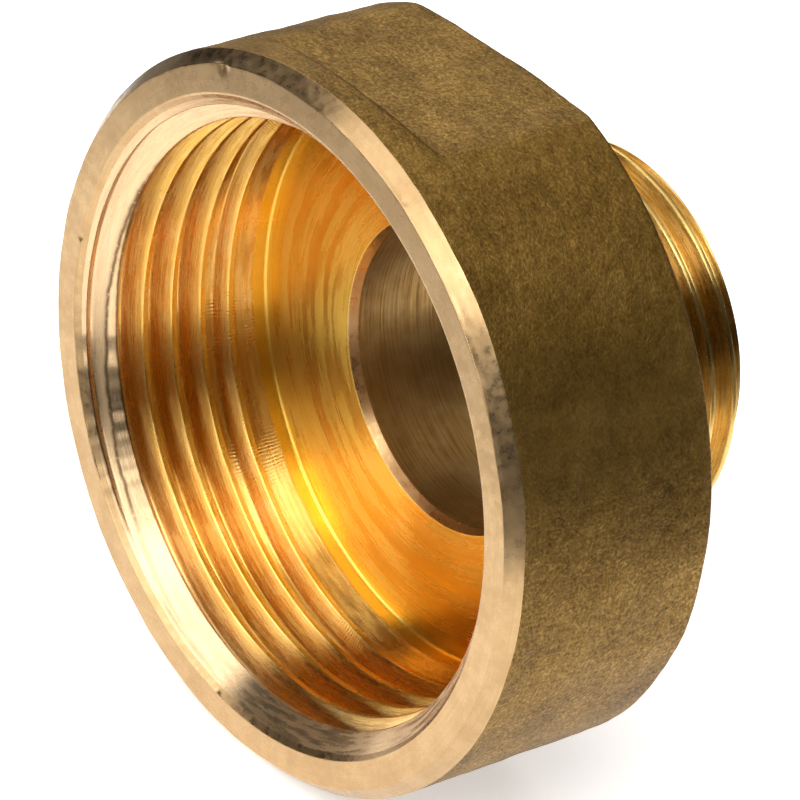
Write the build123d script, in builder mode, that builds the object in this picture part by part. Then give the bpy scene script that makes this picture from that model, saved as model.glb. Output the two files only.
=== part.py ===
from build123d import *
from build123d.topology import SkipClean
import os
import math

os.makedirs("parts", exist_ok=True)

# Reducing adapter in brass: a wide round body with an internal G1 1/4 pipe thread in its mouth,
# two wrench flats, and an external G3/4 pipe thread on a short spigot behind it. Millimetres.
# The shared axis is Y: the mouth faces -Y, the spigot points along +Y, and the two wrench flats
# face +Z and -Z. Lengths are measured from the mouth face, which is drawn on y = 0. The finished
# part is then moved along Y so that its origin is the centre of the socket's floor.

# body
body_r = 24.15            # round forged body
mouth_edge_r = 23.30      # outer edge of the machined mouth face
mouth_chamfer = 1.00      # axial length of the outer chamfer at the mouth
body_back = 15.60         # where the round side ends
shoulder_r = 16.20        # flat machined shoulder around the spigot
shoulder_y = 17.60
flat_from_axis = 22.50    # 45 mm across the two wrench flats
flat_front = 2.90         # the flats start behind a round land
flat_ramp = 0.64          # draft of the step from the land down to a flat
flat_edge_fillet = 0.60   # forged rounding where a flat meets the round side

# socket
thread_lead_r = 21.45     # inner edge of the mouth face, where the 45 degree lead-in starts
socket_r = 19.476         # G1 1/4 internal thread, minor radius, which is also the plain wall
socket_major_r = 20.955   # G1 1/4 major radius
socket_pitch = 2.309      # 11 threads per inch
socket_depth = 14.00
socket_corner = 0.35      # small bevel of the boring tool at the floor corner
runout_from = 9.40        # the thread grows shallower from here
runout_to = 12.90         # and has gone here
socket_crest_y = 1.82     # depth of a crest at socket_crest_angle
socket_crest_angle = 207.5

# bore
bore_r = 10.10
bore_lead_r = 10.45       # light bevel where the socket floor meets the bore
bore_lead = 0.60
bore_end_chamfer = 0.50

# spigot
spigot_end = 28.00
spigot_r = 13.2205        # G3/4 external thread, major radius
spigot_minor_r = 12.0585
spigot_pitch = 1.814      # 14 threads per inch
spigot_chamfer = 0.78
neck_r = 11.85            # plain relief between the shoulder and the thread
neck = 1.60
neck_foot_r = 13.35       # foot of the relief's bevel on the shoulder, clear of the thread
neck_bevel = 0.90
spigot_crest_y = 24.90    # position of a crest at spigot_crest_angle
spigot_crest_angle = 27.5

# making allowances
half_angle = math.tan(math.radians(27.5))
stock = 6.0               # length left on both ends until the threads are cut
sectors = 12              # the crest walls are turned a sector at a time
seam_angle = 19.0         # where the blank's seam lies
quarter_angle = 42.0      # where the first quarter starts
sector_angle = 7.3        # where the first sector starts
tool_angle = 83.0         # where the finishing cuts start


def start_angle(helix):
    """Angle of a helix's start, seen from the mouth, anticlockwise from +X."""
    p = helix @ 0
    return math.degrees(math.atan2(p.Z, p.X))


def groove_start(crest_y, crest_angle, pitch, angle, before):
    """Centre of the groove at an angle, on the last turn before a limit. Both threads are right-handed."""
    y = crest_y - (angle - crest_angle) / 360.0 * pitch + pitch / 2.0
    while y > before:
        y -= pitch
    while y < before - pitch:
        y += pitch
    return y


with BuildLine() as trial_line:
    trial = Helix(pitch=socket_pitch, height=socket_pitch, radius=socket_r,
                  center=(0, 0, 0), direction=(0, 1, 0))
helix_angle = start_angle(trial)

# ---------------------------------------------------------------- socket groove
socket_groove_y = groove_start(socket_crest_y, socket_crest_angle, socket_pitch, helix_angle, -1.9)
socket_groove_length = runout_to + 1.6 - socket_groove_y
socket_tooth = socket_major_r - socket_r
socket_half = (socket_pitch - socket_pitch / 6.0) / 2.0      # half width of the groove at a crest
socket_root = socket_half - socket_tooth * half_angle        # half width at the root
socket_over = 0.35                                           # the cutter starts inside the socket
socket_open = socket_half + socket_over * half_angle

with BuildPart() as socket_cutter:
    with BuildLine() as socket_path:
        Helix(pitch=socket_pitch, height=socket_groove_length, radius=socket_r,
              center=(0, socket_groove_y, 0), direction=(0, 1, 0))
    p0 = socket_path.line @ 0
    t0 = socket_path.line % 0
    with BuildSketch(Plane(origin=p0, x_dir=(p0.X, 0, p0.Z), z_dir=t0)) as socket_profile:
        with BuildLine():
            Polyline((-socket_over, -socket_open), (socket_tooth, -socket_root),
                     (socket_tooth, socket_root), (-socket_over, socket_open), close=True)
        make_face()
    sweep(is_frenet=True)

# the groove grows shallower towards its end, as the tap's lead leaves it
with BuildPart() as socket_envelope:
    with BuildSketch(Plane.XY.rotated((0, 51.0, 0))) as envelope_profile:
        with BuildLine():
            Polyline((10.0, -9.0), (socket_major_r + 0.4, -9.0), (socket_major_r + 0.4, runout_from - 0.93),
                     (socket_r - 0.25, runout_to + 0.59), (10.0, runout_to + 0.59), close=True)
        make_face()
    revolve(axis=Axis.Y)

with BuildPart() as socket_groove:
    add(socket_cutter.part)
    add(socket_envelope.part, mode=Mode.INTERSECT)

# ---------------------------------------------------------------- spigot groove
spigot_groove_y = groove_start(spigot_crest_y, spigot_crest_angle, spigot_pitch, helix_angle, 19.9)
spigot_groove_length = spigot_end + 1.8 - spigot_groove_y
spigot_tooth = spigot_r - spigot_minor_r
spigot_half = (spigot_pitch - spigot_pitch / 6.0) / 2.0
spigot_root = spigot_half - spigot_tooth * half_angle
spigot_over = 0.20
spigot_open = spigot_half + spigot_over * half_angle

with BuildPart() as spigot_groove:
    with BuildLine() as spigot_path:
        Helix(pitch=spigot_pitch, height=spigot_groove_length, radius=spigot_r,
              center=(0, spigot_groove_y, 0), direction=(0, 1, 0))
    q0 = spigot_path.line @ 0
    s0 = spigot_path.line % 0
    with BuildSketch(Plane(origin=q0, x_dir=(q0.X, 0, q0.Z), z_dir=s0)) as spigot_profile:
        with BuildLine():
            Polyline((spigot_over, -spigot_open), (-spigot_tooth, -spigot_root),
                     (-spigot_tooth, spigot_root), (spigot_over, spigot_open), close=True)
        make_face()
    sweep(is_frenet=True)

# ---------------------------------------------------------------- spigot
with BuildPart() as spigot:
    with BuildSketch(Plane.XY.rotated((0, seam_angle, 0))) as spigot_stock:
        with BuildLine():
            Polyline(
                (bore_r - 3.0, shoulder_y - 1.2),
                (spigot_r + 0.4, shoulder_y - 1.2),
                (spigot_r + 0.4, spigot_end + stock),
                (bore_r - 3.0, spigot_end + stock),
                close=True,
            )
        make_face()
    revolve(axis=Axis.Y)

    # wall that the spigot's crests keep
    for i in range(sectors):
        with BuildSketch(Plane.XY.rotated((0, sector_angle + i * 360.0 / sectors, 0))):
            with BuildLine():
                Polyline(
                    (spigot_r, shoulder_y - 2.2),
                    (spigot_r, spigot_end + stock + 1.0),
                    (spigot_r + 1.5, spigot_end + stock + 1.0),
                    (spigot_r + 1.5, shoulder_y - 2.2),
                    close=True,
                )
            make_face()
        revolve(axis=Axis.Y, revolution_arc=360.0 / sectors, mode=Mode.SUBTRACT, clean=False)

    add(spigot_groove.part, mode=Mode.SUBTRACT, clean=False)

    # chamfered tip
    with BuildSketch(Plane.XY.rotated((0, tool_angle, 0))) as tip_cut:
        with BuildLine():
            Polyline(
                (spigot_r + 1.0, spigot_end - spigot_chamfer - 1.0),
                (spigot_r - spigot_chamfer, spigot_end),
                (bore_r - 4.0, spigot_end),
                (bore_r - 4.0, spigot_end + stock + 2.0),
                (spigot_r + 1.0, spigot_end + stock + 2.0),
                close=True,
            )
        make_face()
    revolve(axis=Axis.Y, mode=Mode.SUBTRACT, clean=False)

    # plain relief between the shoulder and the thread
    with BuildSketch(Plane.XY.rotated((0, tool_angle, 0))) as neck_cut:
        with BuildLine():
            Polyline(
                (neck_foot_r, shoulder_y - 2.0),
                (shoulder_r - 1.0, shoulder_y - 2.0),
                (shoulder_r - 1.0, shoulder_y + neck),
                (neck_r, shoulder_y + neck),
                (neck_r, shoulder_y + neck_bevel),
                (neck_foot_r, shoulder_y),
                close=True,
            )
        make_face()
    revolve(axis=Axis.Y, mode=Mode.SUBTRACT, clean=False)

# ---------------------------------------------------------------- adapter
with BuildPart() as adapter:
    # forged body with stock left on its mouth
    with BuildSketch(Plane.XY.rotated((0, seam_angle, 0))) as blank:
        with BuildLine():
            Polyline(
                (socket_r - socket_corner, -stock),
                (body_r, -stock),
                (body_r, body_back),
                (shoulder_r, shoulder_y),
                (bore_r - 2.0, shoulder_y),
                (bore_r - 2.0, socket_depth),
                (socket_r - socket_corner, socket_depth),
                close=True,
            )
        make_face()
    revolve(axis=Axis.Y)

    # wrench flats, each behind a round land, with a drafted step
    with BuildSketch(Plane.YZ) as flats:
        rise = body_r + 2.0
        with BuildLine():
            Polyline(
                (flat_front - flat_ramp * 2.0, rise),
                (flat_front + flat_ramp * (body_r - flat_from_axis), flat_from_axis),
                (body_back + 3.0, flat_from_axis),
                (body_back + 3.0, rise),
                close=True,
            )
        make_face()
        mirror(about=Plane.XZ)
    extrude(amount=body_r, both=True, mode=Mode.SUBTRACT)

    # forged rounding of the long edges of the flats
    long_edges = adapter.edges().filter_by(Axis.Y).filter_by(
        lambda e: abs(abs(e.center().Z) - flat_from_axis) < 0.01)
    fillet(long_edges, radius=flat_edge_fillet)

    # wall that the socket's crests keep
    for i in range(sectors):
        with BuildSketch(Plane.XY.rotated((0, sector_angle + i * 360.0 / sectors, 0))):
            with BuildLine():
                Polyline(
                    (socket_r - 1.2, -stock - 1.0),
                    (socket_r, -stock - 1.0),
                    (socket_r, socket_depth - socket_corner),
                    (socket_r - socket_corner, socket_depth),
                    (socket_r - 1.2, socket_depth - 0.5),
                    close=True,
                )
            make_face()
        revolve(axis=Axis.Y, revolution_arc=360.0 / sectors, mode=Mode.SUBTRACT, clean=False)

    add(socket_groove.part, mode=Mode.SUBTRACT, clean=False)

    # finishing cut of the mouth: outer chamfer, face and lead-in
    with BuildSketch(Plane.XY.rotated((0, tool_angle, 0))) as mouth_cut:
        out = 6.0
        slope = mouth_chamfer / (body_r - mouth_edge_r)
        with BuildLine():
            Polyline(
                (5.0, -stock - 2.0),
                (body_r + out, -stock - 2.0),
                (body_r + out, mouth_chamfer + out * slope),
                (mouth_edge_r, 0.0),
                (thread_lead_r, 0.0),
                (socket_r - 0.5, thread_lead_r - socket_r + 0.5),
                (5.0, thread_lead_r - socket_r + 0.5),
                close=True,
            )
        make_face()
    revolve(axis=Axis.Y, mode=Mode.SUBTRACT, clean=False)

    # the spigot grows out of the shoulder
    add(spigot.part, clean=False)

    # bore, with a bevel at the socket floor and one at the tip
    with BuildSketch(Plane.XY.rotated((0, tool_angle, 0))) as bore_cut:
        with BuildLine():
            Polyline(
                (2.0, socket_depth - 1.0),
                (bore_lead_r + (bore_lead_r - bore_r) / bore_lead, socket_depth - 1.0),
                (bore_r, socket_depth + bore_lead),
                (bore_r, spigot_end - bore_end_chamfer),
                (bore_r + bore_end_chamfer + 1.0, spigot_end + 1.0),
                (2.0, spigot_end + 1.0),
                close=True,
            )
        make_face()
    revolve(axis=Axis.Y, mode=Mode.SUBTRACT, clean=False)


def both_sides(shape, plane):
    """Solids of a shape on both sides of a plane."""
    return [s for piece in shape.split(plane, keep=Keep.BOTH) for s in piece.solids()]


# each turn of a thread is kept as four faces, a quarter turn each
with SkipClean():
    quarters = [q for h in both_sides(adapter.part, Plane.XY.rotated((0, quarter_angle, 0)))
                for q in both_sides(h, Plane.XY.rotated((0, quarter_angle + 90.0, 0)))]
    whole = quarters[0].fuse(*quarters[1:])

# the origin is the centre of the socket's floor, half way along the axis
adapter_body = Pos(0, -socket_depth, 0) * whole.solid()
adapter_body.label = "adapter_body"
print("adapter_body", adapter_body.is_valid, round(adapter_body.volume, 1), len(adapter_body.faces()), "faces")
export_step(adapter_body, "parts/adapter_body.step")
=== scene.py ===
import math
import bpy
import numpy as np
from mathutils import Matrix, Vector


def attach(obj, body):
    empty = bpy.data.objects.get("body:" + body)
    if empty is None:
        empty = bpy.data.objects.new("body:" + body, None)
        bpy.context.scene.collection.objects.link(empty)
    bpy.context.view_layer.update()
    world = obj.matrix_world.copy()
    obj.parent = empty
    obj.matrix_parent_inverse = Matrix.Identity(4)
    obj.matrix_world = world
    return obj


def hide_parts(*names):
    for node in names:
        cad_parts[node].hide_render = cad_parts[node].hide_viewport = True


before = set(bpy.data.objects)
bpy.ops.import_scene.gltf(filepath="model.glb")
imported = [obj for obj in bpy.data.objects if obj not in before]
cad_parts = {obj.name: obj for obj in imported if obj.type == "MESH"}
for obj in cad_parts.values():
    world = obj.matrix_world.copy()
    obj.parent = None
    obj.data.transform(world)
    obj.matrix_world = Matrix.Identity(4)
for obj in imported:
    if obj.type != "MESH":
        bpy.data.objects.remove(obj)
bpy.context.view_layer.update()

rng = np.random.default_rng(7)

# ------------------------------------------------------------------ sizes, mm, from the mouth face
BODY_R, EDGE_R, CHAMFER = 24.15, 23.30, 1.00
BACK, SHOULDER_R, SHOULDER_Y = 15.60, 16.20, 17.60
FLAT, FLAT_FRONT, RAMP = 22.50, 2.90, 0.64
LEAD_R, SOCKET_R, MAJOR_R, PITCH = 21.45, 19.476, 20.955, 2.309
DEPTH, CORNER = 14.0, 0.16
BORE_R, BORE_LEAD_R, BORE_LEAD, BORE_END = 10.10, 10.45, 0.60, 0.50
END, SP_R, SP_MINOR, SP_PITCH, SP_CHAMFER = 28.0, 13.2205, 12.0585, 1.814, 0.78
NECK_R, NECK, NECK_FOOT, NECK_BEVEL = 11.85, 1.60, 13.35, 0.90
SHIFT = 14.0                                  # the frame's origin is the socket floor
T = math.tan(math.radians(27.5))

N = 900
PHI = np.linspace(0.0, 2 * math.pi, N, endpoint=False)
DEG = np.degrees(PHI)
COS, SIN = np.cos(PHI), np.sin(PHI)


def waves(count, short, long):
    """Random plane waves for gentle relief; wavelengths in mm."""
    k = rng.normal(size=(count, 3))
    k /= np.linalg.norm(k, axis=1)[:, None]
    lam = np.exp(rng.uniform(math.log(short), math.log(long), count))
    return k * (2 * math.pi / lam)[:, None], rng.uniform(0, 2 * math.pi, count), lam / lam.max()


def relief(w, x, y, z):
    k, ph, a = w
    out = np.zeros(np.broadcast(x, y, z).shape)
    for i in range(len(ph)):
        out += a[i] * np.sin(k[i, 0] * x + k[i, 1] * y + k[i, 2] * z + ph[i])
    return out / math.sqrt(np.sum(a * a) / 2)


def ring(seed, lows, highs):
    """A wavy line round the axis, about one unit high."""
    g = np.random.default_rng(seed)
    out = np.zeros(N)
    tot = 0.0
    for n in range(lows, highs):
        a = n ** -0.6
        out += a * np.sin(n * PHI + g.uniform(0, 2 * math.pi)) * g.uniform(0.3, 1.0)
        tot += a * a / 3
    return out / math.sqrt(tot)


def smax(a, b, k):
    return 0.5 * (a + b + np.sqrt((a - b) ** 2 + k * k))


def smin(a, b, k):
    return 0.5 * (a + b - np.sqrt((a - b) ** 2 + k * k))


def step(x, lo, hi):
    t = np.clip((x - lo) / (hi - lo), 0, 1)
    return t * t * (3 - 2 * t)


def window(angle, lo, hi, soft):
    """1 between two angles in degrees, falling off over soft degrees."""
    d = (DEG - angle + 180) % 360 - 180
    return step(d, lo - soft, lo) * (1 - step(d, hi, hi + soft))


skin = waves(60, 1.6, 9.0)
fine = waves(40, 0.7, 1.6)
burr = ring(3, 12, 150)
wobble = ring(4, 2, 24)
ragged = ring(5, 20, 90)
hand = ring(6, 5, 40)


def groove(d, pitch, tooth, crest_k, root_k):
    """Depth below the crest at a distance from the crest's middle."""
    g = (d - pitch / 12.0) / T
    return smin(smax(g, 0.0, crest_k), tooth, root_k)


# painted shade: this mask darkens the crease along the first turn's feather edge, where the lead-in cone meets the
# thread
feather = []      # how near each point of the wall is to the first turn's feather edge


def socket_radius(y):
    """Wall of the socket at a depth, all round."""
    crest = 1.82 - (DEG - 207.5) / 360.0 * PITCH
    d = np.abs((y - crest + PITCH / 2) % PITCH - PITCH / 2)
    g = groove(d, PITCH, MAJOR_R - SOCKET_R, 0.05, 0.16)
    limit = (21.355 - 0.4241 * (y - 8.47)) - SOCKET_R
    g = smin(g, np.maximum(limit, 0.0), 0.05) if limit < 2.2 else g
    r = SOCKET_R + np.maximum(g, 0.0)
    lead = LEAD_R - y
    # the first turn's feather edge is torn along part of the mouth
    torn = window(175, -35, 45, 12)
    lead = lead + torn * 0.014 * burr
    # mask for the painted shade along the feather edge, strongest where the edge is torn
    feather.append(np.exp(-((r - lead) / 0.07) ** 2) * (0.25 + 0.75 * torn) * (1.0 if y < 2.2 else 0.0))
    return smax(r, lead, 0.03)


def spigot_radius(y):
    crest = 24.90 - (DEG - 27.5) / 360.0 * SP_PITCH
    d = np.abs((y - crest + SP_PITCH / 2) % SP_PITCH - SP_PITCH / 2)
    r = SP_R - groove(d, SP_PITCH, SP_R - SP_MINOR, 0.05, 0.12)
    r = smin(r, SP_R - SP_CHAMFER + (END - y), 0.05)
    return smin(r, SP_R - 0.0 + (y - 19.2) * 1.0 + 0.0 * y, 0.05) if y < 19.9 else r


def flat_radius(y):
    """Where the two wrench flats cut, all round, at a distance from the mouth."""
    z = FLAT + 0.0 * y
    if y < FLAT_FRONT - 0.6:
        return np.full(N, 99.0)
    z = smax(np.float64(FLAT), np.float64(24.15 - (y - FLAT_FRONT) / RAMP), 0.22)
    return z / np.maximum(np.abs(SIN), 0.05)


rows = []          # (y, r) arrays
mats = []          # material of the strip that ends at this row


def row(y, r, mat):
    rows.append((np.broadcast_to(np.asarray(y, float), (N,)).copy(), np.broadcast_to(np.asarray(r, float), (N,)).copy()))
    mats.append(mat)


def line(a, b, step_mm, mat):
    """Rows from profile point a (already there) to b."""
    n = max(1, int(math.ceil(math.hypot(b[0] - a[0], b[1] - a[1]) / step_mm)))
    for i in range(1, n + 1):
        t = i / n
        row(a[0] + (b[0] - a[0]) * t, a[1] + (b[1] - a[1]) * t, mat)


def corner(p, q, s, radius, turn=4):
    """Points of a small arc at q on the way from p to s."""
    p, q, s = (np.array(v, float) for v in (p, q, s))
    u = (p - q) / np.linalg.norm(p - q)
    v = (s - q) / np.linalg.norm(s - q)
    half = math.acos(np.clip(np.dot(u, v), -1, 1)) / 2
    cut = min(radius / math.tan(half), 0.45 * np.linalg.norm(p - q), 0.45 * np.linalg.norm(s - q))
    a, b = q + u * cut, q + v * cut
    return [tuple((1 - t) ** 2 * a + 2 * t * (1 - t) * q + t * t * b) for t in np.linspace(0, 1, turn + 1)]


def path(points, fillets, steps, mat_list):
    """A polyline of (y, r) with small arcs at its inner points."""
    here = points[0]
    for i in range(1, len(points)):
        if i < len(points) - 1 and fillets[i] > 0:
            arc = corner(points[i - 1], points[i], points[i + 1], fillets[i])
            line(here, arc[0], steps[i - 1], mat_list[i - 1])
            for k, c in enumerate(arc[1:]):
                row(c[0], c[1], mat_list[i - 1] if k < 2 else mat_list[i])
            here = arc[-1]
        else:
            line(here, points[i], steps[i - 1], mat_list[i - 1])
            here = points[i]


FORGED, FACE, THREAD, FLOOR, BORE, SPIGOT = range(6)

# from the tip's inner edge, in through the bore, over the socket floor, up to the mouth
row(END, BORE_R + BORE_END, FACE)
path([(END, BORE_R + BORE_END), (END - BORE_END, BORE_R), (DEPTH + BORE_LEAD, BORE_R), (DEPTH, BORE_LEAD_R),
      (DEPTH, SOCKET_R - CORNER), (DEPTH - CORNER, SOCKET_R)],
     [0, 0.05, 0.05, 0.05, 0.06, 0], [0.2, 0.22, 0.15, 0.2, 0.12], [FACE, BORE, FACE, FLOOR, FLOOR])
dy = 0.05
count = int((DEPTH - CORNER) / dy)
wall_start = len(rows)
for i in range(1, count + 1):
    y = (DEPTH - CORNER) * (1 - i / count)
    row(y, socket_radius(y) if i < count else LEAD_R, FLOOR if y > 13.0 else (FACE if y < 0.35 else THREAD))

# mouth face, chamfer, forged body, back cone, shoulder, neck
edge = [(0.0, LEAD_R), (0.0, EDGE_R), (CHAMFER, BODY_R), (BACK, BODY_R), (SHOULDER_Y, SHOULDER_R), (SHOULDER_Y, NECK_FOOT),
        (SHOULDER_Y + NECK_BEVEL, NECK_R), (SHOULDER_Y + NECK, NECK_R)]
start_face = len(rows)
path(edge, [0, 0.07, 0.05, 0.35, 0.10, 0.08, 0.10, 0], [0.14, 0.12, 0.16, 0.25, 0.3, 0.2, 0.2],
     [FACE, FACE, FORGED, FORGED, FACE, FACE, FACE])
end_body = len(rows)

# spigot thread and tip
dy = 0.06
first = spigot_radius(SHOULDER_Y + NECK + 0.001)
for t in (0.25, 0.5, 0.75, 1.0):
    row(SHOULDER_Y + NECK, NECK_R + (first - NECK_R) * t, SPIGOT)
count = int((END - SHOULDER_Y - NECK) / dy)
for i in range(1, count + 1):
    y = SHOULDER_Y + NECK + (END - SHOULDER_Y - NECK) * i / count
    row(y, spigot_radius(y), SPIGOT)
tip = rows[-1][1]
for t in np.linspace(0, 1, 11)[1:-1]:
    row(END, tip + (BORE_R + BORE_END - tip) * t, FACE)

Y = np.array([a for a, b in rows])
R = np.array([b for a, b in rows])

# the wrench flats, and the relief of the forged skin
for j in range(start_face, end_body):
    y0 = float(Y[j, 0])
    if R[j, 0] > 16.5 and y0 > 2.0:
        R[j] = smin(R[j], flat_radius(y0), 0.16)
forged = np.zeros(len(rows), bool)
for j in range(start_face, end_body):
    forged[j] = mats[j] == FORGED and Y[j, 0] > 1.10
X3 = R * COS
Z3 = R * SIN
bump = relief(skin, X3[forged], Y[forged], Z3[forged])
bump2 = relief(fine, X3[forged], Y[forged], Z3[forged])
fade = np.clip((Y[forged] - 1.1) / 0.8, 0, 1)
R[forged] += (0.020 * bump + 0.006 * bump2 - 0.02) * fade
# the line where the machined chamfer meets the forged skin wanders a little
for j in range(start_face, end_body):
    y0 = Y[j, 0]
    w = max(0.0, 1 - abs(y0 - 1.0) / 0.5) if 0.5 < y0 < 1.5 else 0.0
    if w:
        Y[j] += w * (0.045 * wobble + 0.010 * ragged)
    rim = math.exp(-((float(R[j, 0]) - EDGE_R) / 0.12) ** 2) if y0 < 0.3 else 0.0
    R[j] += rim * (0.030 * hand + 0.010 * ragged)
# nicks: one on the mouth's outer edge, small dents round the rim
DENTS = [(110.0, 23.25, 0.0, 0.55, 0.16), (226.0, 23.6, 0.3, 0.35, 0.10), (338.0, 23.4, 0.1, 0.30, 0.07),
         (64.0, 23.5, 0.3, 0.25, 0.05), (171.0, 21.5, 0.0, 0.30, 0.08), (262.0, 21.5, 0.0, 0.35, 0.06)]
for deg, r0, y0, size, deep in DENTS:
    d2 = ((R * COS - r0 * math.cos(math.radians(deg))) ** 2 + (R * SIN - r0 * math.sin(math.radians(deg))) ** 2
          + (Y - y0) ** 2) / size ** 2
    push = deep * np.exp(-d2 * 2.0)
    push[:start_face - 60] = 0
    push[end_body:] = 0
    Y += push

verts = np.empty((len(rows), N, 3))
verts[..., 0] = R * COS
verts[..., 1] = Y - SHIFT
verts[..., 2] = R * SIN
verts /= 1000.0
M = len(rows)
jj, ii = np.meshgrid(np.arange(M), np.arange(N), indexing="ij")
a = jj * N + ii
b = jj * N + (ii + 1) % N
c = ((jj + 1) % M) * N + (ii + 1) % N
d = ((jj + 1) % M) * N + ii
quads = np.stack([a, b, c, d], -1).reshape(-1, 4)
mat_index = np.repeat(np.roll(np.array(mats), -1), N)

mesh = bpy.data.meshes.new("adapter_body_detail")
mesh.vertices.add(M * N)
mesh.vertices.foreach_set("co", verts.reshape(-1))
mesh.loops.add(len(quads) * 4)
mesh.loops.foreach_set("vertex_index", quads.reshape(-1).astype(np.int32))
mesh.polygons.add(len(quads))
mesh.polygons.foreach_set("loop_start", np.arange(0, len(quads) * 4, 4, dtype=np.int32))
mesh.polygons.foreach_set("loop_total", np.full(len(quads), 4, np.int32))
mesh.update(calc_edges=True)
mesh.validate()
# the faces' outside: compare one body face's normal with its place
# painted shade along the first turn's feather edge, stored for the thread material
torn_edge_shade = mesh.attributes.new("torn_edge_shade", "FLOAT", "POINT")
level = np.zeros((M, N), np.float32)
level[wall_start:wall_start + len(feather)] = np.array(feather)
torn_edge_shade.data.foreach_set("value", level.reshape(-1))
test = mesh.polygons[int((start_face + 40) * N)]
if Vector((test.center.x, 0, test.center.z)).dot(test.normal) < 0:
    mesh.flip_normals()
mesh.polygons.foreach_set("use_smooth", np.ones(len(mesh.polygons), bool))
body = bpy.data.objects.new("adapter_body_detail", mesh)
bpy.context.scene.collection.objects.link(body)


# ------------------------------------------------------------------ materials
class Nodes:
    """Short ways to wire a material."""

    def __init__(self, name):
        self.mat = bpy.data.materials.new(name)
        self.mat.use_nodes = True
        self.t = self.mat.node_tree
        self.bsdf = self.t.nodes["Principled BSDF"]
        co = self.t.nodes.new("ShaderNodeTexCoord").outputs["Object"]
        mm = self.vec("SCALE", co, scale=1000.0)
        self.mm = mm
        s = self.t.nodes.new("ShaderNodeSeparateXYZ")
        self.link(mm, s.inputs[0])
        self.x, self.y, self.z = s.outputs
        self.r = self.math("SQRT", self.math("ADD", self.math("MULTIPLY", self.x, self.x), self.math("MULTIPLY", self.z, self.z)))
        self.c = self.math("DIVIDE", self.x, self.r)
        self.s = self.math("DIVIDE", self.z, self.r)

    def link(self, a, b):
        self.t.links.new(a, b)

    def put(self, socket, value):
        if hasattr(value, "is_output"):
            self.link(value, socket)
        else:
            socket.default_value = value

    def math(self, op, a, b=0.0, clamp=False):
        n = self.t.nodes.new("ShaderNodeMath")
        n.operation = op
        n.use_clamp = clamp
        self.put(n.inputs[0], a)
        if op not in ("SQRT", "ABSOLUTE", "SINE", "COSINE"):
            self.put(n.inputs[1], b)
        return n.outputs[0]

    def vec(self, op, a, b=None, scale=None):
        n = self.t.nodes.new("ShaderNodeVectorMath")
        n.operation = op
        self.put(n.inputs[0], a)
        if b is not None:
            self.put(n.inputs[1], b)
        if scale is not None:
            n.inputs["Scale"].default_value = scale
        return n.outputs[0]

    def join(self, x, y, z):
        n = self.t.nodes.new("ShaderNodeCombineXYZ")
        for sock, v in zip(n.inputs, (x, y, z)):
            self.put(sock, v)
        return n.outputs[0]

    def noise(self, vector, scale, detail=3.0, rough=0.5, distort=0.0):
        n = self.t.nodes.new("ShaderNodeTexNoise")
        n.inputs["Scale"].default_value = scale
        n.inputs["Detail"].default_value = detail
        n.inputs["Roughness"].default_value = rough
        n.inputs["Distortion"].default_value = distort
        self.link(vector, n.inputs["Vector"])
        return n.outputs["Fac"]

    def voronoi(self, vector, scale, feature="F1"):
        n = self.t.nodes.new("ShaderNodeTexVoronoi")
        n.feature = feature
        n.inputs["Scale"].default_value = scale
        self.link(vector, n.inputs["Vector"])
        return n.outputs["Distance"]

    def ramp(self, fac, stops):
        n = self.t.nodes.new("ShaderNodeValToRGB")
        e = n.color_ramp.elements
        while len(e) < len(stops):
            e.new(0.5)
        for el, (p, col) in zip(e, stops):
            el.position = p
            el.color = tuple(col) + (1.0,)
        self.link(fac, n.inputs[0])
        return n.outputs[0]

    def range(self, v, a, b, lo, hi, smooth=True):
        n = self.t.nodes.new("ShaderNodeMapRange")
        n.interpolation_type = "SMOOTHSTEP" if smooth else "LINEAR"
        self.put(n.inputs["Value"], v)
        n.inputs["From Min"].default_value = a
        n.inputs["From Max"].default_value = b
        n.inputs["To Min"].default_value = lo
        n.inputs["To Max"].default_value = hi
        return n.outputs["Result"]

    def mix(self, fac, a, b, mode="MIX"):
        n = self.t.nodes.new("ShaderNodeMix")
        n.data_type = "RGBA"
        n.blend_type = mode
        self.put(n.inputs[0], fac)
        for i, v in ((6, a), (7, b)):
            if hasattr(v, "is_output"):
                self.link(v, n.inputs[i])
            else:
                n.inputs[i].default_value = tuple(v) + (1.0,)
        return n.outputs[2]

    def bump(self, height, mm_high, strength=1.0, normal=None):
        n = self.t.nodes.new("ShaderNodeBump")
        n.inputs["Strength"].default_value = strength
        n.inputs["Distance"].default_value = mm_high / 1000.0
        self.link(height, n.inputs["Height"])
        if normal is not None:
            self.link(normal, n.inputs["Normal"])
        return n.outputs[0]

    def rings(self, along, fine, around, detail=4.0):
        """Streaks that run round the axis: fine per mm across, slow round it."""
        v = self.join(self.math("MULTIPLY", along, fine), self.math("MULTIPLY", self.c, around), self.math("MULTIPLY", self.s, around))
        return self.noise(v, 1.0, detail, 0.6)

    def finish(self, color, rough, metallic, normal, turned=0.0):
        """turned is how far the highlights spread across the tool marks that run round the axis."""
        b = self.bsdf
        if turned:
            t = self.t.nodes.new("ShaderNodeTangent")
            t.direction_type = "RADIAL"
            t.axis = "Y"
            b.inputs["Anisotropic"].default_value = turned
            b.inputs["Anisotropic Rotation"].default_value = 0.25
            self.link(t.outputs[0], b.inputs["Tangent"])
        self.put(b.inputs["Base Color"], color)
        self.put(b.inputs["Roughness"], rough)
        b.inputs["Metallic"].default_value = metallic
        if normal is not None:
            self.link(normal, b.inputs["Normal"])
        return self.mat


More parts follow.
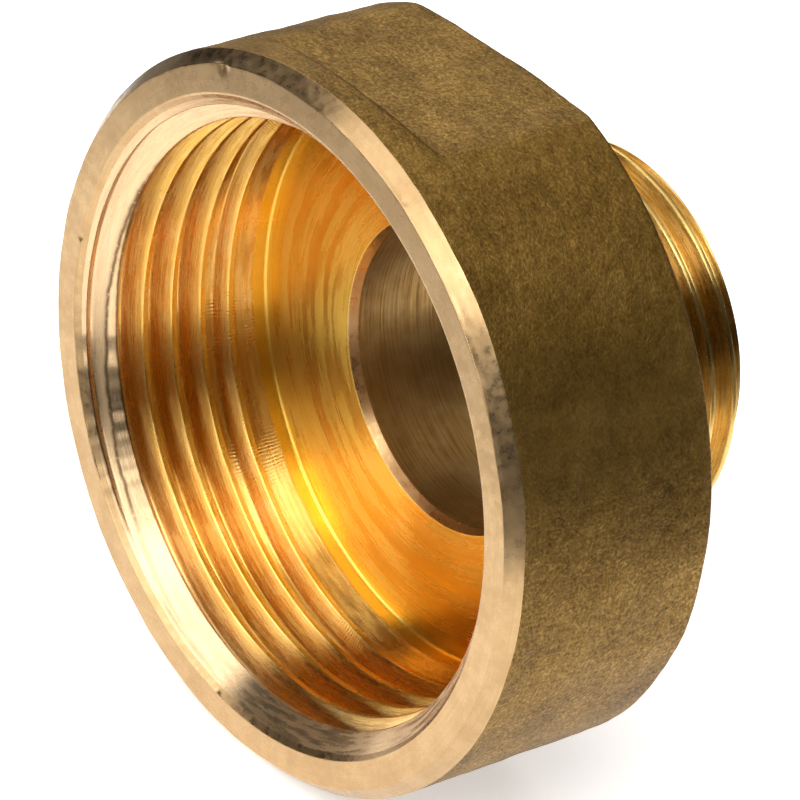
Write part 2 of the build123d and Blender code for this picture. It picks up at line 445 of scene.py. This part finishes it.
def forged_skin():
    m = Nodes("forged_brass_skin")
    grain = m.noise(m.mm, 4.6, 3.0, 0.65)
    coarse = m.noise(m.mm, 1.5, 3.0, 0.6)
    blotch = m.noise(m.mm, 0.22, 4.0, 0.6)
    cells = m.voronoi(m.mm, 5.5)
    mixv = m.math("ADD", m.math("MULTIPLY", grain, 0.55), m.math("ADD", m.math("MULTIPLY", blotch, 0.35), m.math("MULTIPLY", coarse, 0.20)))
    col = m.ramp(mixv, [(0.36, (0.075, 0.038, 0.006)), (0.50, (0.195, 0.107, 0.019)), (0.60, (0.290, 0.166, 0.034)), (0.74, (0.50, 0.31, 0.090))])
    pit = m.range(cells, 0.02, 0.16, 0.0, 1.0)
    col = m.mix(pit, (0.055, 0.033, 0.010), col)
    rough = m.range(grain, 0.3, 0.7, 0.62, 0.42)
    h = m.math("ADD", m.math("MULTIPLY", grain, 0.6), m.math("ADD", m.math("MULTIPLY", pit, 0.25), m.math("MULTIPLY", coarse, 0.5)))
    return m.finish(col, rough, 0.88, m.bump(h, 0.11, 0.8))


def machined_face():
    m = Nodes("machined_brass_face")
    fine_r = m.rings(m.r, 9.0, 5.0)
    fine_y = m.rings(m.y, 9.0, 5.0)
    cloud = m.noise(m.mm, 0.55, 4.0, 0.6)
    speck = m.voronoi(m.mm, 2.2)
    spot = m.range(speck, 0.03, 0.07, 0.0, 1.0)
    col = m.mix(m.range(cloud, 0.35, 0.65, 0.0, 1.0), (0.48, 0.315, 0.155), (0.55, 0.37, 0.19))
    col = m.mix(m.range(fine_r, 0.45, 0.62, 0.0, 0.30), col, (0.45, 0.27, 0.115))
    col = m.mix(spot, (0.34, 0.21, 0.09), col)
    rough = m.range(m.noise(m.mm, 1.6, 4.0, 0.6), 0.3, 0.7, 0.24, 0.38)
    h = m.math("ADD", fine_r, m.math("MULTIPLY", fine_y, 0.6))
    n = m.bump(h, 0.0025, 0.6)
    n = m.bump(spot, 0.003, 0.2, n)
    return m.finish(col, rough, 1.0, n, 0.6)


def thread(name, color, dark, scale):
    m = Nodes(name)
    streak = m.rings(m.r, 11.0 * scale, 3.2)
    drift = m.rings(m.math("ADD", m.math("MULTIPLY", m.r, 5.0), m.math("MULTIPLY", m.y, 0.35)), 1.0, 7.0)
    cloud = m.noise(m.mm, 0.45, 4.0, 0.6)
    col = m.mix(m.range(streak, 0.42, 0.66, 0.0, 0.75), color, dark)
    col = m.mix(m.range(cloud, 0.45, 0.72, 0.0, 0.35), col, (0.90, 0.62, 0.25))
    # painted light: the turns near the mouth are paler pinkish cream and the deeper turns stay amber, standing in for
    # the front light on the outer lands and the inter-reflections deeper in
    col = m.mix(m.range(m.y, -12.6, -9.8, 1.0, 0.0), col, (0.74, 0.52, 0.30))
    speck = m.range(m.voronoi(m.mm, 1.7), 0.03, 0.08, 0.0, 1.0)
    col = m.mix(speck, (0.20, 0.11, 0.03), col)
    rough = m.range(drift, 0.35, 0.65, 0.20, 0.32)
    # painted shade: near-black along the first turn's feather edge, in the crease where the lead-in cone meets the
    # thread
    torn = m.t.nodes.new("ShaderNodeAttribute")
    torn.attribute_name = "torn_edge_shade"
    tear_shade = m.math("MULTIPLY", torn.outputs["Fac"], m.range(m.noise(m.mm, 4.0, 3.0, 0.7), 0.32, 0.46, 0.45, 1.0))
    col = m.mix(m.math("MULTIPLY", tear_shade, 0.9), col, (0.07, 0.035, 0.010))
    n = m.bump(m.math("ADD", streak, m.math("MULTIPLY", drift, 0.8)), 0.012, 0.9)
    # chatter of the boring tool across the last turns, at a few places round the wall
    phi = m.math("ARCTAN2", m.z, m.x)
    wave = m.math("SINE", m.math("ADD", m.math("MULTIPLY", phi, 520.0), m.math("MULTIPLY", m.noise(m.mm, 0.8, 2.0, 0.5), 9.0)))
    place = None
    for deg, half in ((192, 6), (209, 4), (221, 7), (263, 5), (150, 5)):
        a = math.radians(deg)
        near = m.math("ADD", m.math("MULTIPLY", m.c, math.cos(a)), m.math("MULTIPLY", m.s, math.sin(a)))
        one = m.range(near, math.cos(math.radians(half * 1.7)), math.cos(math.radians(half * 0.6)), 0.0, 1.0)
        place = one if place is None else m.math("MAXIMUM", place, one)
    deep = m.math("MULTIPLY", m.range(m.y, -4.6, -3.8, 0.0, 1.0), m.range(m.y, -1.1, -0.7, 1.0, 0.0))
    patchy = m.range(m.noise(m.mm, 1.1, 2.0, 0.5), 0.42, 0.58, 0.1, 1.0)
    n = m.bump(m.math("MULTIPLY", m.math("MULTIPLY", wave, place), m.math("MULTIPLY", deep, patchy)), 0.0022, 0.8, n)
    tick = m.rings(m.r, 2.2, 150.0, 2.0)
    n = m.bump(tick, 0.0015, 0.4, n)
    return m.finish(col, rough, 1.0, n, 1.0)


def socket_floor():
    m = Nodes("socket_floor_brass")
    rings = m.rings(m.r, 7.0, 2.4)
    slow = m.rings(m.r, 1.1, 1.6)
    cloud = m.noise(m.mm, 0.5, 4.0, 0.6)
    col = m.mix(m.range(rings, 0.42, 0.66, 0.0, 0.55), (0.86, 0.54, 0.095), (0.70, 0.41, 0.045))
    col = m.mix(m.range(cloud, 0.4, 0.7, 0.0, 0.3), col, (0.93, 0.60, 0.15))
    speck = m.range(m.voronoi(m.mm, 1.3), 0.025, 0.06, 0.0, 1.0)
    col = m.mix(speck, (0.22, 0.12, 0.03), col)
    rough = m.range(slow, 0.35, 0.65, 0.20, 0.32)
    n = m.bump(m.math("ADD", rings, m.math("MULTIPLY", slow, 1.2)), 0.010, 0.8)
    ripple = m.noise(m.mm, 0.35, 2.0, 0.5)
    n = m.bump(ripple, 0.03, 0.30, n)
    return m.finish(col, rough, 1.0, n, 1.0)


def turned_bore():
    m = Nodes("turned_bore_brass")
    rings = m.rings(m.y, 8.0, 1.6)
    feed = m.math("SINE", m.math("MULTIPLY", m.y, 2 * math.pi / 0.34))
    cloud = m.noise(m.mm, 0.5, 4.0, 0.6)
    col = m.mix(m.range(rings, 0.4, 0.68, 0.0, 0.8), (0.46, 0.28, 0.095), (0.27, 0.15, 0.040))
    col = m.mix(m.range(cloud, 0.4, 0.7, 0.0, 0.30), col, (0.70, 0.50, 0.24))
    rough = m.range(rings, 0.35, 0.65, 0.36, 0.50)
    h = m.math("ADD", rings, m.math("MULTIPLY", feed, 0.12))
    return m.finish(col, rough, 1.0, m.bump(h, 0.014, 0.9), 0.4)


materials = [forged_skin(), machined_face(), thread("socket_thread_brass", (0.84, 0.51, 0.13), (0.66, 0.35, 0.055), 1.0),
             socket_floor(), turned_bore(), thread("spigot_thread_brass", (0.80, 0.53, 0.17), (0.50, 0.29, 0.06), 1.2)]
for m in materials:
    mesh.materials.append(m)
mesh.polygons.foreach_set("material_index", mat_index.astype(np.int32))
mesh.update()

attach(body, "root")
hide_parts("adapter_body")

# ------------------------------------------------------------------ floor
bpy.ops.mesh.primitive_circle_add(vertices=96, radius=3.0, fill_type="NGON", location=(0, 0, -0.0243))
floor = bpy.context.object
floor.name = "floor"
fm = bpy.data.materials.new("floor_painted_light_and_shade")
fm.use_nodes = True
ft = fm.node_tree
fb = ft.nodes["Principled BSDF"]
co = ft.nodes.new("ShaderNodeTexCoord")
mp = ft.nodes.new("ShaderNodeVectorMath")
mp.operation = "DISTANCE"
mp.inputs[1].default_value = (-0.045, 0.03, 0.0)
ft.links.new(co.outputs["Object"], mp.inputs[0])
mr = ft.nodes.new("ShaderNodeMapRange")
mr.interpolation_type = "SMOOTHSTEP"
mr.inputs["From Min"].default_value = 0.088
mr.inputs["From Max"].default_value = 0.105
mr.inputs["To Min"].default_value = 0.0
mr.inputs["To Max"].default_value = 1.0
# the pale disc, a painted pool of light that glows, reaches out on the camera's side as well
mp2 = ft.nodes.new("ShaderNodeVectorMath")
mp2.operation = "DISTANCE"
mp2.inputs[1].default_value = (0.035, -0.035, 0.0)
ft.links.new(co.outputs["Object"], mp2.inputs[0])
side = ft.nodes.new("ShaderNodeMath")
side.operation = "ADD"
side.inputs[1].default_value = 0.043
ft.links.new(mp2.outputs["Value"], side.inputs[0])
near = ft.nodes.new("ShaderNodeMath")
near.operation = "MINIMUM"
ft.links.new(mp.outputs["Value"], near.inputs[0])
ft.links.new(side.outputs["Value"], near.inputs[1])
ft.links.new(near.outputs["Value"], mr.inputs["Value"])
# painted shade: beyond the pale disc the floor is dark grey, so the metal reflects dark there
cr = ft.nodes.new("ShaderNodeMix")
cr.data_type = "RGBA"
cr.inputs[6].default_value = (0.97, 0.97, 0.97, 1)
cr.inputs[7].default_value = (0.18, 0.18, 0.18, 1)
ft.links.new(mr.outputs["Result"], cr.inputs[0])
ft.links.new(cr.outputs[2], fb.inputs["Base Color"])
# painted light: the pale disc glows, washing out the part's shadow on the floor
painted_glow = ft.nodes.new("ShaderNodeMapRange")
painted_glow.inputs["To Min"].default_value = 0.50
painted_glow.inputs["To Max"].default_value = 0.0
ft.links.new(mr.outputs["Result"], painted_glow.inputs["Value"])
ft.links.new(painted_glow.outputs["Result"], fb.inputs["Emission Strength"])
fb.inputs["Emission Color"].default_value = (1, 1, 1, 1)
fb.inputs["Roughness"].default_value = 0.9
floor.data.materials.append(fm)

# ------------------------------------------------------------------ soft studio light
world = bpy.data.worlds.new("studio")
bpy.context.scene.world = world
world.use_nodes = True
wt = world.node_tree
bg = wt.nodes["Background"]
gen = wt.nodes.new("ShaderNodeTexCoord").outputs["Generated"]


def wlink(a, b):
    wt.links.new(a, b)


def wmath(op, a, b=0.0):
    n = wt.nodes.new("ShaderNodeMath")
    n.operation = op
    for i, v in ((0, a), (1, b)):
        if hasattr(v, "is_output"):
            wlink(v, n.inputs[i])
        else:
            n.inputs[i].default_value = v
    return n.outputs[0]


def wdot(v):
    n = wt.nodes.new("ShaderNodeVectorMath")
    n.operation = "DOT_PRODUCT"
    wlink(gen, n.inputs[0])
    n.inputs[1].default_value = tuple(v)
    return n.outputs["Value"]


def wrange(v, a, b, lo, hi):
    n = wt.nodes.new("ShaderNodeMapRange")
    n.interpolation_type = "SMOOTHSTEP"
    wlink(v, n.inputs["Value"])
    n.inputs["From Min"].default_value = a
    n.inputs["From Max"].default_value = b
    n.inputs["To Min"].default_value = lo
    n.inputs["To Max"].default_value = hi
    return n.outputs["Result"]


def softbox(center, wide, high, soft, power):
    """A soft rectangle of light far away; half-angles in degrees."""
    c = Vector(center).normalized()
    t = c.cross(Vector((0, 0, 1))).normalized() if abs(c.z) < 0.95 else Vector((1, 0, 0))
    u = t.cross(c).normalized()
    ahead = wmath("MAXIMUM", wdot(c), 0.001)
    a = wmath("ABSOLUTE", wmath("DIVIDE", wdot(t), ahead))
    b = wmath("ABSOLUTE", wmath("DIVIDE", wdot(u), ahead))
    ta, tb = math.tan(math.radians(wide)), math.tan(math.radians(high))
    ma = wrange(a, ta, ta + soft, 1.0, 0.0)
    mb = wrange(b, tb, tb + soft, 1.0, 0.0)
    front = wrange(wdot(c), 0.02, 0.10, 0.0, 1.0)
    return wmath("MULTIPLY", wmath("MULTIPLY", wmath("MULTIPLY", ma, mb), front), power)


def toward(az, el):
    """Unit vector at an azimuth from +X towards +Y and an elevation, in degrees."""
    a, e = math.radians(az), math.radians(el)
    return (math.cos(e) * math.cos(a), math.cos(e) * math.sin(a), math.sin(e))


# azimuth, elevation, half width, half height, softness, power
BOXES = [
    (318, 56, 14, 12, 0.10, 4.4),      # key, high on the camera's side
    (262, 54, 24, 12, 0.15, 0.9),      # high in front of the mouth
    (257, 21, 20, 24, 0.06, 2.6),      # tall box straight in front of the mouth
    (286, 15, 11, 10, 0.06, 2.3),       # low, right of it
    (158, 36, 14, 16, 0.15, 2.0),      # left, behind
    (0, 89, 30, 30, 0.30, 0.85),       # overhead
]
total = wmath("ADD", wrange(wdot((0.0, 0.0, 1.0)), 0.0, 0.9, 0.01, 0.13), 0.0)
for az, el, wide, high, soft, power in BOXES:
    total = wmath("ADD", total, softbox(toward(az, el), wide, high, soft, power))
wlink(total, bg.inputs["Strength"])
bg.inputs["Color"].default_value = (1.0, 0.985, 0.96, 1)

# ------------------------------------------------------------------ camera at the photograph's angle
cam_data = bpy.data.cameras.new("camera")
cam = bpy.data.objects.new("camera", cam_data)
bpy.context.scene.collection.objects.link(cam)
cam_data.sensor_width = 36.0
cam_data.sensor_fit = "HORIZONTAL"
cam_data.lens = 253.4
cam_data.clip_start = 0.01
cam_data.clip_end = 20.0
cam.matrix_world = Matrix(((0.6037011, -0.4483401, 0.6591935, 0.23542),
                           (0.7916046, 0.2392361, -0.5622528, -0.19050 - SHIFT / 1000.0),
                           (0.0943776, 0.8612533, 0.4993352, 0.17769),
                           (0, 0, 0, 1)))
bpy.context.scene.camera = cam
bpy.context.scene.view_settings.view_transform = "Standard"
bpy.context.scene.view_settings.look = "None"
